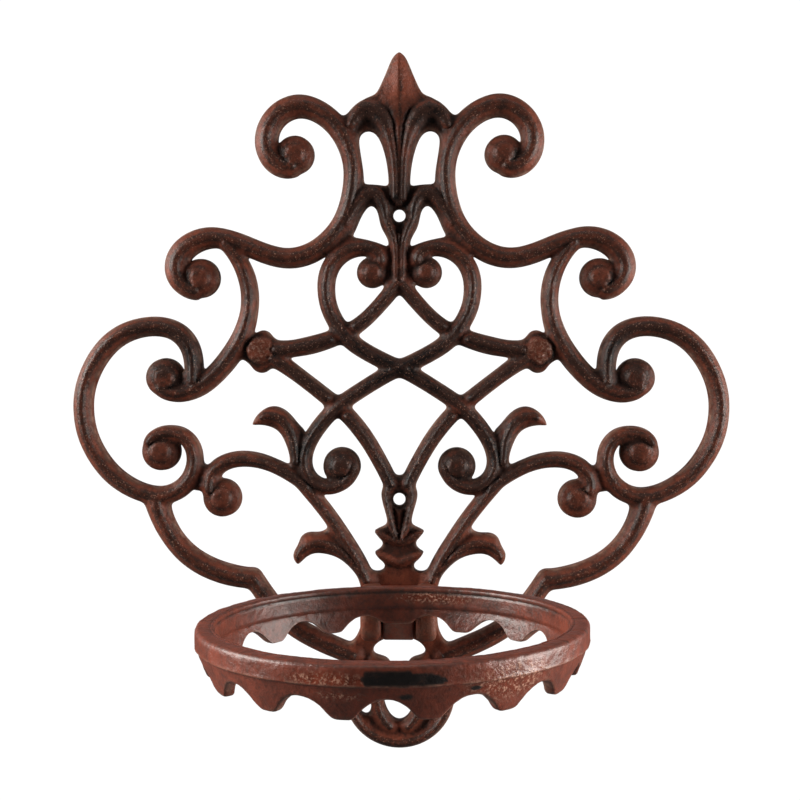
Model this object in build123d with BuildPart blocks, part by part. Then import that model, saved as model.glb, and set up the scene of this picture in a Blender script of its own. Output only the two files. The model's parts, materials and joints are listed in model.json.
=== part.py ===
from build123d import *
import os
from math import cos, pi, radians, sin, sqrt

# Cast-iron wall bracket: a scrollwork back plate that carries an open ring on a hinge.
# The ring takes a flower pot or a candle glass, and folds up flat against the plate.
# Millimetres, +Z up, the wall at Y = 0, the bracket's front facing -Y.
# The origin is midway between the two screw holes, on the wall.

# Back plate
SCREW_SPACING = 128.0          # between the two screw holes
SCREW_HOLE_R = 2.75
COUNTERSINK_R = 4.6
BASE_THICK = 5.0               # flat body of every bar
RIDGE_HEIGHT = 3.5             # raised ridge along the middle of each bar
PLATE_THICK = BASE_THICK + RIDGE_HEIGHT
RIDGE_SHARE = 0.34             # ridge width as a share of the bar's width
PLATE_REACH = 400.0            # more than the plate's height
CROSSING_GAP = 1.5             # an under-passing ridge stops this far from the bar above

# Ring
RING_R = 75.0                  # outer radius of the top band
RING_BORE_R = 67.6
RING_TOP_Z = -99.3
RING_REAR_Y = -22.0            # rearmost point of the ring's outer face
BAND_HEIGHT = 8.0
BORE_HEIGHT = 9.0              # straight part of the bore
BORE_STEP = 0.8                # the skirt's inner face is set back by this under the bore
SKIRT_HEIGHT = 20.1            # top face down to the ends of the scallops
SKIRT_THICK = 4.0
SKIRT_FOOT_R = 69.8            # outer radius at the ends of the scallops
SCALLOPS = 15
SCALLOP_FLAT = 7.6             # flat end of each scallop
ARCH_TOP = 12.3                # top of each arch, below the ring's top face
ARCH_CURVE = [(0.75, 0.54), (0.5, 0.22), (0.25, 0.05)]   # shares of half its width, and of its depth
EDGE_ROUND = 2.0

# Hinge
PIN_R = 2.5
PIN_Y = -16.5
PIN_DROP = 7.0                 # pin axis below the ring's top face
KNUCKLE_R = 4.7
LUG_INNER = 7.5                # the two lugs stand between these distances from the middle
LUG_OUTER = 16.9
KNUCKLE_HALF = 6.9
LUG_FOOT = 19.7                # foot of the lugs below the pin axis
LUG_R = 4.7                    # round head of the lugs about the pin
LUG_FRONT = 20.6               # front of the lugs from the wall, at their shoulder
LUG_SHOULDER = -14.1           # where the lugs start to curve back to the plate
WEB_REACH = 26.0               # how far from the wall the tongue runs into the ring's band
PIN_CHAMFER = 0.4
HEEL_FOOT = 18.7               # foot of the heel below the pin axis
HEEL_GAP = 0.3                 # heel to plate when the ring is level
KNUCKLE_CLEARANCE = 0.08

RING_Y = RING_REAR_Y - RING_R
PIN_Z = RING_TOP_Z - PIN_DROP

# The plate is drawn from its upper screw hole: x to the right, z up, right half only.
# Each bar is a smooth line of points, with its width at each point.
BARS = {
    "top_scroll": (
        [(47, 22.4), (53, 22.4), (58, 26.8), (59.8, 33.5), (58, 40.5), (53, 46.2), (45, 49),
         (36.5, 46.8), (29, 41), (23.8, 33), (21, 24), (20.8, 14), (22.2, 6), (25.5, -3),
         (32, -11.3), (40.5, -17), (49.5, -19), (58, -17.7), (67, -14.3), (76, -10.8),
         (86, -9.8), (94, -12.6), (99.4, -18), (100.8, -24.6), (97.5, -30.8), (91, -33.4)],
        [9.5, 10.4, 10.6, 10.6, 10.4, 10.4, 10.4, 10, 9.8, 9.4, 9.2, 9.2, 9.2, 9.4,
         9.4, 9.4, 9.3, 9.2, 9, 8.8, 9.8, 10.4, 10.6, 10.4, 9.8, 9]),
    "middle_bar": (
        [(79, -12), (73, -19), (69.2, -27), (67.6, -35), (67.9, -43), (70.3, -52), (75.6, -61.8),
         (81.9, -69.6), (89, -75.8), (97, -79.5), (104, -79.6), (109, -77)],
        [6.5, 7.4, 8, 8, 8, 8.8, 9.4, 9.2, 9.2, 8.6, 8.4, 7]),
    "big_scroll": (
        [(93.4, -76), (93.2, -66), (95, -58.8), (99.2, -53.4), (105, -50.5), (112.5, -49.7),
         (120, -51), (128, -54.8), (135.2, -61.8), (140.5, -71), (143.2, -80), (143.6, -89),
         (141.8, -99), (137, -109), (130.3, -117.2), (122, -123), (114, -126), (106, -126.3),
         (99, -123), (94.2, -116.8), (92.8, -109.5), (94.6, -103), (98.8, -99), (104.6, -97.9),
         (110.4, -99.2), (113.6, -103.2)],
        [8.6, 8.6, 8.8, 9, 9, 9, 9, 9, 9, 8.8, 8.8, 8.8,
         8.8, 8.8, 8.8, 8.6, 8.4, 8.4, 8.4, 8, 7.4, 7.2, 7, 6.8, 6.4, 5.6]),
    "lower_bar": (
        [(41, -122.5), (45.6, -119), (50, -116.3), (57, -112.8), (64, -110.5), (71, -109.8),
         (78, -111), (83.6, -114.6), (86, -120), (85.4, -125)],
        [6.8, 7, 6.8, 6.6, 7, 7.4, 7.4, 7.6, 8, 7.4]),
    "lower_stem": (
        [(44, -120.4), (37.5, -128.2), (31, -136.6), (25.4, -145), (20, -153.6), (15.4, -163),
         (13.6, -170)],
        [7, 6.8, 6.8, 7, 7, 7, 7]),
    "arm": (
        [(110.5, -127), (108.6, -135), (103.6, -145), (96.5, -153.2), (87.6, -159),
         (78, -162.5), (67, -164.3)],
        [12, 10.2, 9.4, 9.6, 9.8, 9.8, 9.4]),
    "arm_foot": (
        [(67, -163), (60.6, -172.6), (51.6, -183), (41, -190.2), (30.6, -195), (20, -199.4)],
        [8.6, 8.8, 9, 9.2, 9.4, 9]),
    "heart_upper": (
        [(8.4, -21.5), (8.6, -17.6), (12.6, -14.9), (19, -14.4), (25.4, -16.8), (30.2, -21.6),
         (32.7, -28), (33, -34.5), (31.7, -41.5), (28, -49), (22, -56.4), (14.5, -61.6),
         (6, -66), (-3, -70.2)],
        [6, 7.2, 7.6, 8, 8.2, 8.2, 8.2, 8, 7.8, 7.8, 7.8, 7.6, 7.6, 7.6]),
    "heart_lower": (
        [(-3, -67.2), (6, -71.6), (13, -75.8), (19.6, -80), (26, -84.4), (32.4, -90.2),
         (37.6, -96.6), (41.6, -103.6), (43.2, -111), (41, -118), (35, -122.2), (28, -121.8),
         (22.6, -118), (20.6, -112.6)],
        [7.6, 7.4, 7.2, 7.2, 7.2, 7.2, 7.2, 7.2, 7.2, 7.2, 7.2, 6.8, 6.2, 5.4]),
    "lattice_upper": (
        [(0.6, -30), (4.8, -35.3), (9.2, -40.4), (14, -45.4), (19.4, -49.8), (25.4, -53.2),
         (32.4, -56), (40.4, -58.3), (48.4, -59.8), (57, -60.4)],
        [7, 7, 6.8, 6.8, 7, 7.4, 8, 8.4, 7.8, 9]),
    "lattice_lower": (
        [(60, -62.4), (53, -66.6), (46, -71.6), (38.4, -77.4), (31.4, -83), (24.8, -88.6),
         (19, -95), (14.2, -101.6), (9.6, -109.4), (5.6, -117), (3.4, -122)],
        [9, 7.6, 7, 7, 7.2, 7.4, 7.4, 7.2, 7, 7, 6.6]),
    "lyre": (
        [(3.4, -231.6), (8, -226), (10.2, -219.4), (11, -212.6), (11.4, -206.4)],
        [5, 6, 6.4, 6.6, 5.6]),
}

# Ridges of the shapes that aren't bars: the palmette, the spine, the leaves and the medallion.
RIDGES = {
    "palmette_hook": ([(3.4, 8), (3.8, 16), (5, 26), (7.6, 35.5), (11.4, 42.2), (16, 44.6),
                       (20.2, 42.6)], [1.6, 1.6, 1.8, 2.2, 2.6, 2.6, 1.8]),
    "screw_tie": ([(3.6, -10), (5.9, -2), (8.6, 5.4), (12.4, 9.4), (16.6, 8.2), (20.2, 2)],
                  [1.4, 1.8, 2, 2.4, 2.2, 1.8]),
    "upper_leaf": ([(46.6, -112), (47.6, -102), (51, -94), (56.6, -90), (62.6, -91.4)],
                   [2.4, 2.4, 2.6, 2.6, 1.6]),
    "lower_leaf": ([(17.6, -162), (23, -154.8), (31, -148.8), (38.4, -147.8), (43.4, -150.2),
                    (45.8, -154.6)], [2, 2.2, 2.6, 2.6, 2.4, 1.6]),
}
SPINE_RIDGES = [(-27, -8, 3.0), (-158, -135, 3.0)]   # foot, head and width of each

# Bars that pass under another bar, and the bar above each of them.
UNDER = {"lattice_upper": "heart_upper", "lattice_lower": "heart_lower"}

# Coiled ends and other round masses: centre and radius.
BOSSES = [((46.8, 27.2), 8.7), ((89.7, -28), 8.9), ((106, -72.9), 8.9), ((108, -106.3), 8.9),
          ((80.3, -127.4), 8.8), ((12.2, -25.5), 7.1), ((26, -112.9), 8.6), ((8.8, -204), 5.2)]
BOSS_RIDGE_SHARE = 0.5
ARM_BEND = ((66.8, -163.9), 4.6)
# Web where the low arm's curl is cast against the big scroll's lower curl.
CURL_WEB = [((89.4, -114.8), 2.6), ((90.3, -118.2), 3.0), ((91.3, -121.6), 2.8)]

# The knot where the two lattice bars meet the middle bar: a cap of four lobes.
KNOT = [((62.6, -60.6), 8.2), ((61.6, -55.8), 4.4), ((62.4, -66), 4.9), ((67.4, -60.6), 5.4)]

MEDALLION_CENTRE = (0, -215.8)
MEDALLION_R = 25.5
MEDALLION_RIDGE_R = 22.6
MEDALLION_RIDGE_WIDTH = 2.2
MEDALLION_RIDGE_ANGLE = 120


def plate_plane(depth):
    """The plane the plate is drawn on, this far in front of the wall."""
    return Plane(origin=(0, -depth, SCREW_SPACING / 2), x_dir=(1, 0, 0), z_dir=(0, -1, 0))


def side_plane(x):
    """An upright plane across the hinge: out from the wall, and up from the pin."""
    return Plane(origin=(x, 0, PIN_Z), x_dir=(0, -1, 0), z_dir=(-1, 0, 0))


def lengthwise_shares(points):
    """How far along the line each point lies, from 0 to 1."""
    runs = [0.0]
    for (x0, z0), (x1, z1) in zip(points, points[1:]):
        runs.append(runs[-1] + sqrt((x1 - x0) ** 2 + (z1 - z0) ** 2))
    return [run / runs[-1] for run in runs]


def width_at(share, shares, widths):
    """The bar's width at a share of its length, between the two nearest given widths."""
    for i in range(1, len(shares)):
        if share <= shares[i]:
            blend = (share - shares[i - 1]) / (shares[i] - shares[i - 1])
            return widths[i - 1] + blend * (widths[i] - widths[i - 1])
    return widths[-1]


def bar(shape, share=1.0, extra=0.0, mode=Mode.ADD):
    """The face of one bar, or of its ridge where share is under 1."""
    points, widths = shape
    with BuildLine(mode=Mode.PRIVATE) as route:
        Spline(*points)
    spine = route.edge()
    shares = lengthwise_shares(points)
    steps = 2 * (len(points) - 1)
    left, right = [], []
    for step in range(steps + 1):
        along = step / steps
        half = width_at(along, shares, widths) * share / 2 + extra
        heading = spine % along
        sideways = Vector(-heading.Y, heading.X) * half
        left.append(spine @ along + sideways)
        right.append(spine @ along - sideways)
    with BuildLine(mode=Mode.PRIVATE) as outline:
        Spline(*left)
        Spline(*right)
        Line(left[0], right[0])
        Line(left[-1], right[-1])
    make_face(outline.edges(), mode=mode)


def patch(*sides, mode=Mode.ADD):
    """A face whose sides are smooth curves through their points and meet at corners."""
    with BuildLine(mode=Mode.PRIVATE) as outline:
        for points in sides:
            if len(points) > 2:
                Spline(*points)
            else:
                Line(*points)
    make_face(outline.edges(), mode=mode)


def disc(centre, radius, mode=Mode.ADD):
    with Locations(centre):
        Circle(radius, mode=mode)


def mirror_right_half():
    """Keep what lies right of the middle, and add its mirror image."""
    with Locations((0, -SCREW_SPACING / 2)):
        Rectangle(PLATE_REACH, PLATE_REACH, align=(Align.MIN, Align.CENTER), mode=Mode.INTERSECT)
    mirror(about=Plane.YZ)


def palmette():
    """The spear finial, its two lobes and the tie round the upper screw, with their openings."""
    patch([(0, 72.8), (2.4, 71), (5, 66), (8, 59), (10.6, 53.9)],
          [(10.6, 53.9), (16, 51.8), (20, 49), (23.4, 45.4)],
          [(23.4, 45.4), (27.6, 42)], [(27.6, 42), (22, 20)], [(22, 20), (24.5, 0)],
          [(24.5, 0), (31, -12)], [(31, -12), (27, -15)], [(27, -15), (18, -14)],
          [(18, -14), (8, -17)], [(8, -17), (0, -17)], [(0, -17), (0, 72.8)])
    patch([(4.8, 13), (5.1, 19), (6.2, 26), (8.4, 33), (11, 36.9), (14, 38), (16.8, 36.9),
           (18.2, 34)],
          [(18.2, 34), (17.3, 27), (16.3, 20.6), (16, 14)],
          [(16, 14), (10.6, 13.9), (4.8, 13)], mode=Mode.SUBTRACT)
    patch([(21.6, -9.4), (17.6, -1.4), (14.6, 3.4), (12.6, 4.8), (10.8, 3.6), (9.2, -1.2),
           (7.6, -6.4), (5.8, -9.4), (4.8, -14.2)],
          [(4.8, -14.2), (9, -12.3), (15, -10.6), (21.6, -9.4)], mode=Mode.SUBTRACT)


def upper_leaf():
    patch([(43, -96.6), (46, -93.6), (50.6, -88.4), (57, -85.8), (62.6, -88), (66.8, -94.6)],
          [(66.8, -94.6), (60, -94.8), (55, -97), (51.4, -103), (49.6, -110), (50, -113.6)],
          [(50, -113.6), (44, -119)], [(44, -119), (43, -96.6)])


def lower_leaf():
    patch([(33, -141.6), (35.6, -143), (41.4, -143.2), (44.8, -145.4), (46.4, -149.4),
           (48.2, -152.6), (47.8, -155.6), (45.8, -158)],
          [(45.8, -158), (43, -155.2), (39.4, -152.9), (34, -152.8), (28, -154.6),
           (22, -159.4), (18, -165), (17, -169.6)],
          [(17, -169.6), (10, -169.6)], [(10, -169.6), (28, -139)], [(28, -139), (33, -141.6)])


def centre_spine():
    """Neck below the upper screw, and the boss, arrow leaves and panel round the lower one."""
    patch([(0, -10), (4.4, -14)], [(4.4, -14), (8, -20)], [(8, -20), (8, -27)],
          [(8, -27), (6.4, -32.6)], [(6.4, -32.6), (0, -35.4)], [(0, -35.4), (0, -10)])
    patch([(0, -117), (3, -118), (6.6, -121.6)],
          [(6.6, -121.6), (8.2, -125), (7.8, -129), (6.2, -134.4), (5.4, -139.6)],
          [(5.4, -139.6), (8.2, -140.6), (11.6, -142.4)],
          [(11.6, -142.4), (9.4, -145), (7, -148)],
          [(7, -148), (8.4, -150.2), (11.4, -151.8)],
          [(11.4, -151.8), (9.4, -154.6), (6.4, -157.4)],
          [(6.4, -157.4), (7, -160), (9.4, -160.8), (13, -160.4)],
          [(13, -160.4), (13, -166)], [(13, -166), (0, -166)], [(0, -166), (0, -117)])


def hinge_panel():
    """The flat panel behind the lugs, flaring into the medallion."""
    patch([(0, -164), (16.6, -164)], [(16.6, -164), (17.4, -184)],
          [(17.4, -184), (18.6, -189), (22, -193.6)], [(22, -193.6), (24, -208)],
          [(24, -208), (0, -208)], [(0, -208), (0, -164)])


def medallion():
    """The round foot of the plate, pierced by a lyre-shaped opening and two slots."""
    disc(MEDALLION_CENTRE, MEDALLION_R)
    patch([(0, -190.4), (7, -191.7), (11.2, -194.8), (12.2, -198)],
          [(12.2, -198), (9, -199.2), (5.4, -200.6), (3.6, -204), (4.2, -208.4),
           (6.6, -213), (7.2, -218), (6, -223), (3.4, -227.2), (0, -228.9)],
          [(0, -228.9), (0, -190.4)], mode=Mode.SUBTRACT)
    patch([(14.6, -205), (18.2, -210), (19.4, -216), (18.8, -222.4), (16.4, -226), (14.2, -226.4)],
          [(14.2, -226.4), (12.9, -224.4), (13.8, -218.6), (14.8, -212), (14.6, -205)],
          mode=Mode.SUBTRACT)


def plate_outline():
    """The whole face of the plate."""
    for name, shape in BARS.items():
        if name != "lyre":
            bar(shape)
    for centre, radius in BOSSES + KNOT + CURL_WEB + [ARM_BEND]:
        disc(centre, radius)
    palmette()
    upper_leaf()
    lower_leaf()
    centre_spine()
    hinge_panel()
    medallion()
    mirror_right_half()


def plate_ridges():
    """The raised ridges along the bars, broken where a bar passes under another."""
    for name in UNDER:
        bar(BARS[name], RIDGE_SHARE)
    for above in UNDER.values():
        bar(BARS[above], extra=CROSSING_GAP, mode=Mode.SUBTRACT)
    for name, shape in BARS.items():
        if name not in UNDER:
            bar(shape, RIDGE_SHARE)
    for shape in RIDGES.values():
        bar(shape)
    for centre, radius in BOSSES + KNOT[:1]:
        disc(centre, radius * BOSS_RIDGE_SHARE)
    disc(ARM_BEND[0], ARM_BEND[1] * RIDGE_SHARE)
    patch([(0, 69), (3.4, 63), (6.6, 55)], [(6.6, 55), (3.6, 40), (1.4, 24)],
          [(1.4, 24), (0, 24)], [(0, 24), (0, 69)])
    for foot, head, width in SPINE_RIDGES:
        with Locations((0, (foot + head) / 2)):
            Rectangle(width, head - foot)
    with BuildLine(mode=Mode.PRIVATE) as rim:
        CenterArc(MEDALLION_CENTRE, MEDALLION_RIDGE_R, -90, MEDALLION_RIDGE_ANGLE)
    trace(rim.edge(), MEDALLION_RIDGE_WIDTH)
    mirror_right_half()


def cut_screw_holes():
    with Locations(plate_plane(BASE_THICK)):
        with Locations((0, 0), (0, -SCREW_SPACING)):
            CounterSinkHole(radius=SCREW_HOLE_R, counter_sink_radius=COUNTERSINK_R)


def lug_profile():
    """One lug seen from the side: round about the pin, straight down, and back to the plate."""
    with BuildLine(mode=Mode.PRIVATE) as outline:
        Line((BASE_THICK - 1, LUG_R), (-PIN_Y, LUG_R))
        CenterArc((-PIN_Y, 0), LUG_R, 0, 90)
        Line((-PIN_Y + LUG_R, 0), (LUG_FRONT, LUG_SHOULDER))
        ThreePointArc((LUG_FRONT, LUG_SHOULDER), (LUG_FRONT - 1.9, -LUG_FOOT + 1.6), (14.4, -LUG_FOOT))
        Line((14.4, -LUG_FOOT), (BASE_THICK - 1, -LUG_FOOT))
        Line((BASE_THICK - 1, -LUG_FOOT), (BASE_THICK - 1, LUG_R))
    make_face(outline.edges())


def make_back_plate():
    with BuildPart() as plate:
        with BuildSketch(plate_plane(0)):
            plate_outline()
        extrude(amount=BASE_THICK)
        with BuildSketch(plate_plane(BASE_THICK)):
            plate_ridges()
        extrude(amount=RIDGE_HEIGHT)
        cut_screw_holes()
        for outer_face in (LUG_OUTER, -LUG_INNER):
            with BuildSketch(side_plane(outer_face)):
                lug_profile()
            extrude(amount=LUG_OUTER - LUG_INNER)
        with BuildSketch(side_plane(LUG_OUTER)):
            disc((-PIN_Y, 0), PIN_R)
        extrude(amount=2 * LUG_OUTER, mode=Mode.SUBTRACT)
    return plate.part


def ring_section():
    """Band and skirt, seen along the rim: distance from the ring's middle, and height."""
    bead = BAND_HEIGHT - 0.9
    with BuildLine(mode=Mode.PRIVATE) as outline:
        Polyline((RING_R - EDGE_ROUND, 0), (RING_BORE_R, 0), (RING_BORE_R, -BORE_HEIGHT),
                 (RING_BORE_R + BORE_STEP, -BORE_HEIGHT - BORE_STEP),
                 (SKIRT_FOOT_R - SKIRT_THICK, -SKIRT_HEIGHT),
                 (SKIRT_FOOT_R, -SKIRT_HEIGHT), (RING_R - 0.9, -BAND_HEIGHT - 0.4),
                 (RING_R, -bead), (RING_R, -EDGE_ROUND))
        RadiusArc((RING_R, -EDGE_ROUND), (RING_R - EDGE_ROUND, 0), -EDGE_ROUND)
    make_face(outline.edges())


def arch():
    """The opening between two scallops."""
    pitch = 2 * pi * SKIRT_FOOT_R / SCALLOPS
    half = (pitch - SCALLOP_FLAT) / 2
    foot = -SKIRT_HEIGHT - 0.5
    depth = SKIRT_HEIGHT - ARCH_TOP
    side = [(half * across, -ARCH_TOP - depth * down) for across, down in ARCH_CURVE]
    other = [(-x, z) for x, z in side]
    patch([(-half, foot)] + other + [(0, -ARCH_TOP)] + side[::-1] + [(half, foot)],
          [(half, foot), (-half, foot)])


def knuckle_profile():
    """The ring's tongue from the side: round the pin, forward to the band, and down to the heel."""
    disc((-PIN_Y, 0), KNUCKLE_R)
    heel_out = BASE_THICK + HEEL_GAP
    patch([(-PIN_Y, KNUCKLE_R), (WEB_REACH, KNUCKLE_R)],
          [(WEB_REACH, KNUCKLE_R), (WEB_REACH, -KNUCKLE_R)],
          [(WEB_REACH, -KNUCKLE_R), (-PIN_Y + 3.6, -KNUCKLE_R - 2)],
          [(-PIN_Y + 3.6, -KNUCKLE_R - 2), (-PIN_Y + 1.4, -HEEL_FOOT)],
          [(-PIN_Y + 1.4, -HEEL_FOOT), (heel_out, -HEEL_FOOT)],
          [(heel_out, -HEEL_FOOT), (heel_out, -HEEL_FOOT + 4)],
          [(heel_out, -HEEL_FOOT + 4), (-PIN_Y - KNUCKLE_R, 0)],
          [(-PIN_Y - KNUCKLE_R, 0), (-PIN_Y, KNUCKLE_R)])


def make_pot_ring():
    middle = (0, RING_Y, RING_TOP_Z)
    with BuildPart() as ring:
        with BuildSketch(Plane(origin=middle, x_dir=(1, 0, 0), z_dir=(0, -1, 0))):
            ring_section()
        revolve(axis=Axis(middle, (0, 0, 1)))
        for i in range(SCALLOPS):
            angle = radians(90 + (i + 0.5) * 360 / SCALLOPS)
            outwards = (cos(angle), sin(angle), 0)
            with BuildSketch(Plane(origin=middle, x_dir=(-sin(angle), cos(angle), 0), z_dir=outwards)):
                arch()
            extrude(amount=RING_R + 5, mode=Mode.SUBTRACT)
        with BuildSketch(side_plane(KNUCKLE_HALF)):
            knuckle_profile()
        extrude(amount=2 * KNUCKLE_HALF)
        with BuildSketch(side_plane(KNUCKLE_HALF)):
            disc((-PIN_Y, 0), PIN_R + KNUCKLE_CLEARANCE)
        extrude(amount=2 * KNUCKLE_HALF, mode=Mode.SUBTRACT)
    return ring.part


def make_hinge_pin():
    with BuildPart() as pin:
        with BuildSketch(side_plane(LUG_OUTER)):
            disc((-PIN_Y, 0), PIN_R)
        extrude(amount=2 * LUG_OUTER)
        chamfer(pin.edges().filter_by(GeomType.CIRCLE), PIN_CHAMFER)
    return pin.part


os.makedirs("parts", exist_ok=True)

back_plate = make_back_plate()
back_plate.label = "back_plate"
export_step(back_plate, "parts/back_plate.step")

pot_ring = make_pot_ring()
pot_ring.label = "pot_ring"
export_step(pot_ring, "parts/pot_ring.step")

hinge_pin = make_hinge_pin()
hinge_pin.label = "hinge_pin"
export_step(hinge_pin, "parts/hinge_pin.step")
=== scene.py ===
import json
from math import cos, pi, radians, sin

import bmesh
import bpy
import numpy as np
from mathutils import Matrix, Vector, geometry, kdtree


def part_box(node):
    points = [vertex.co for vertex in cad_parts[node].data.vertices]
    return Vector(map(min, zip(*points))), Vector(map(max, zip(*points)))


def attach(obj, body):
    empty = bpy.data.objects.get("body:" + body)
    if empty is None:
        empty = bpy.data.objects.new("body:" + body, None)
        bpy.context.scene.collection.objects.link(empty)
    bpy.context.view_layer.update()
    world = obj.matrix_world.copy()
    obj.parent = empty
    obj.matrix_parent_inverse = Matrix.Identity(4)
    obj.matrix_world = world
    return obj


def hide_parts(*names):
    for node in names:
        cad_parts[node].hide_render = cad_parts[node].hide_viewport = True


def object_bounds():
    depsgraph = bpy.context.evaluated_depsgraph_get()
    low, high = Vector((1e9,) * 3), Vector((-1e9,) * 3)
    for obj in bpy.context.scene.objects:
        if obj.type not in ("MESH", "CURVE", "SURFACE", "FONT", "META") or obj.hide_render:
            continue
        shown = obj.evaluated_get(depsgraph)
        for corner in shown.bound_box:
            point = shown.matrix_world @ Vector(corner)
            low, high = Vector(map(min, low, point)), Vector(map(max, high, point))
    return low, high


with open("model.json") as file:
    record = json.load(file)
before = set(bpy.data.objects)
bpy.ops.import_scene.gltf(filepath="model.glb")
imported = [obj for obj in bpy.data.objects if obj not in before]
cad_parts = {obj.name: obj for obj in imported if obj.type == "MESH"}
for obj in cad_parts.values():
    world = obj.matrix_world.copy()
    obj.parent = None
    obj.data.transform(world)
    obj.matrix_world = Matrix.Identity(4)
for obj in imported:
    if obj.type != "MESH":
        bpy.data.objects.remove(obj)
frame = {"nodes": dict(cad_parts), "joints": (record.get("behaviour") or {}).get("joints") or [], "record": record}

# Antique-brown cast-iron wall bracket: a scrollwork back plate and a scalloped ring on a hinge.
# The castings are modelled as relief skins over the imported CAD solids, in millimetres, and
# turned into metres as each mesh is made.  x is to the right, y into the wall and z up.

cad_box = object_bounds()

MM = 0.001
WELD = 5e-6            # CAD corners nearer than this, in metres, are one

# Places read from the frame
MOUNTS = {mount["name"]: mount for mount in frame["record"]["mounts"]}
SCREW_Z = MOUNTS["wall_screws"]["dims"]["spacing_y_mm"] / 2
SCREW_R = MOUNTS["wall_screws"]["dims"]["hole_r_mm"]
PIN = Vector(frame["joints"][0]["pos_m"]) / MM
ring_low, ring_high = (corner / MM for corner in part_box("pot_ring"))
RING_R = ring_high.x
RING_Y = ring_low.y + RING_R
RING_TOP = ring_high.z


# ---------------- shaping functions

WAVES = 10             # plane waves in a ripple
WAVE_SUM = 4.5         # what their sum is divided by
BLEND = 0.22           # softness where a strand runs into what is under it


def smoothstep(low, high, value):
    t = np.clip((value - low) / (high - low), 0, 1)
    return t * t * (3 - 2 * t)


def hill(value, centre, width):
    """A smooth bump, 1 at the centre."""
    return np.exp(-((value - centre) / width) ** 2)


def soft_max(first, second):
    return np.logaddexp(first / BLEND, second / BLEND) * BLEND


def ripple(points, size, seed):
    """Smooth unevenness between about -1 and 1, of this wavelength."""
    rng = np.random.default_rng(seed)
    total = np.zeros(len(points))
    for _ in range(WAVES):
        heading = rng.normal(size=points.shape[1])
        heading /= np.linalg.norm(heading)
        wave = 2 * pi / (size * rng.uniform(0.7, 1.6))
        total += np.sin(points @ heading * wave + rng.uniform(0, 2 * pi))
    return total / WAVE_SUM


def point_tree(points):
    tree = kdtree.KDTree(len(points))
    for i, (x, z) in enumerate(points):
        tree.insert((x, z, 0), i)
    tree.balance()
    return tree


# ---------------- outlines

def next_corners(faces):
    """For each corner on the border of these flat faces, the ones that follow it."""
    chosen = set(faces)
    following = {}
    for face in faces:
        for corner in face.loops:
            if sum(other in chosen for other in corner.edge.link_faces) != 1:
                continue
            start, end = corner.vert, corner.link_loop_next.vert
            if face.normal.y > 0:
                start, end = end, start
            following.setdefault(start, []).append(end)
    return following


def cad_loops(node, depth):
    """Closed outlines (x, z) of a CAD node's flat faces this far in front of the wall.
    The metal is on the left of each outline."""
    bm = bmesh.new()
    bm.from_mesh(frame["nodes"][node].data)
    bmesh.ops.remove_doubles(bm, verts=bm.verts, dist=WELD)
    following = next_corners([f for f in bm.faces if all(abs(v.co.y + depth * MM) < WELD for v in f.verts)])
    loops = []
    while following:
        loop, vert = [], next(iter(following))
        while vert in following:
            loop.append((vert.co.x / MM, vert.co.z / MM))
            ends = following[vert]
            step = ends.pop()
            if not ends:
                del following[vert]
            vert = step
        if len(loop) > 2:
            loops.append(np.array(loop))
    bm.free()
    return loops


def resample(loop, step):
    """The same closed outline with evenly spaced points."""
    line = np.vstack([loop, loop[:1]])
    run = np.concatenate([[0], np.cumsum(np.linalg.norm(np.diff(line, axis=0), axis=1))])
    count = max(8, int(round(run[-1] / step)))
    at = np.linspace(0, run[-1], count, endpoint=False)
    return np.column_stack([np.interp(at, run, line[:, i]) for i in range(2)])


def inward(loop):
    """Unit normals into the metal, which is on the loop's left."""
    along = np.roll(loop, -1, 0) - np.roll(loop, 1, 0)
    along /= np.maximum(np.linalg.norm(along, axis=1), 1e-9)[:, None]
    return np.column_stack([-along[:, 1], along[:, 0]])


def soften(loop, rounds, fill, trim):
    """Round the corners: inner ones by adding metal, outer ones by taking some away."""
    for _ in range(rounds):
        pull = (np.roll(loop, 1, 0) + np.roll(loop, -1, 0)) / 2 - loop
        adds = (pull * inward(loop)).sum(1) < 0
        loop = loop + pull * np.where(adds, fill, trim)[:, None]
    return loop


def inside(points, loops, chunk=1500):
    """Which points lie in the area bounded by the loops, by counting crossings."""
    starts = np.vstack(loops)
    ends = np.vstack([np.roll(loop, -1, 0) for loop in loops])
    x0, z0, x1, z1 = starts[:, 0], starts[:, 1], ends[:, 0], ends[:, 1]
    slope = (x1 - x0) / np.where(z1 == z0, 1, z1 - z0)
    found = np.zeros(len(points), bool)
    for first in range(0, len(points), chunk):
        px = points[first:first + chunk, 0][:, None]
        pz = points[first:first + chunk, 1][:, None]
        spans = (z0[None] > pz) != (z1[None] > pz)
        crossing = spans & (px < x0[None] + (pz - z0[None]) * slope[None])
        found[first:first + chunk] = crossing.sum(1) % 2 == 1
    return found


class Distance:
    """Distance to a set of outlines, positive on their metal side."""

    def __init__(self, loops, step=0.12):
        dense = [resample(loop, step) for loop in loops]
        self.points = np.vstack(dense)
        self.normals = np.vstack([inward(loop) for loop in dense])
        self.tree = point_tree(self.points)

    def __call__(self, points):
        found = [self.tree.find((x, z, 0)) for x, z in points]
        index = np.array([f[1] for f in found])
        far = np.array([f[2] for f in found])
        side = ((points - self.points[index]) * self.normals[index]).sum(1)
        return np.where(side >= 0, far, -far)


# ---------------- points and triangles

HEX_ROW = 0.866        # a staggered row's height for columns one apart
JITTER = 0.12


def near_points(loops, offset, field, share, step):
    """Points offset into the metal from the loops, where nothing else is nearer."""
    kept = []
    for loop in loops:
        line = resample(loop, step)
        moved = line + inward(line) * offset
        away = field(moved) if offset > 0 else -field(moved)
        kept.append(moved[away > abs(offset) * share])
    return np.vstack(kept)


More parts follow.
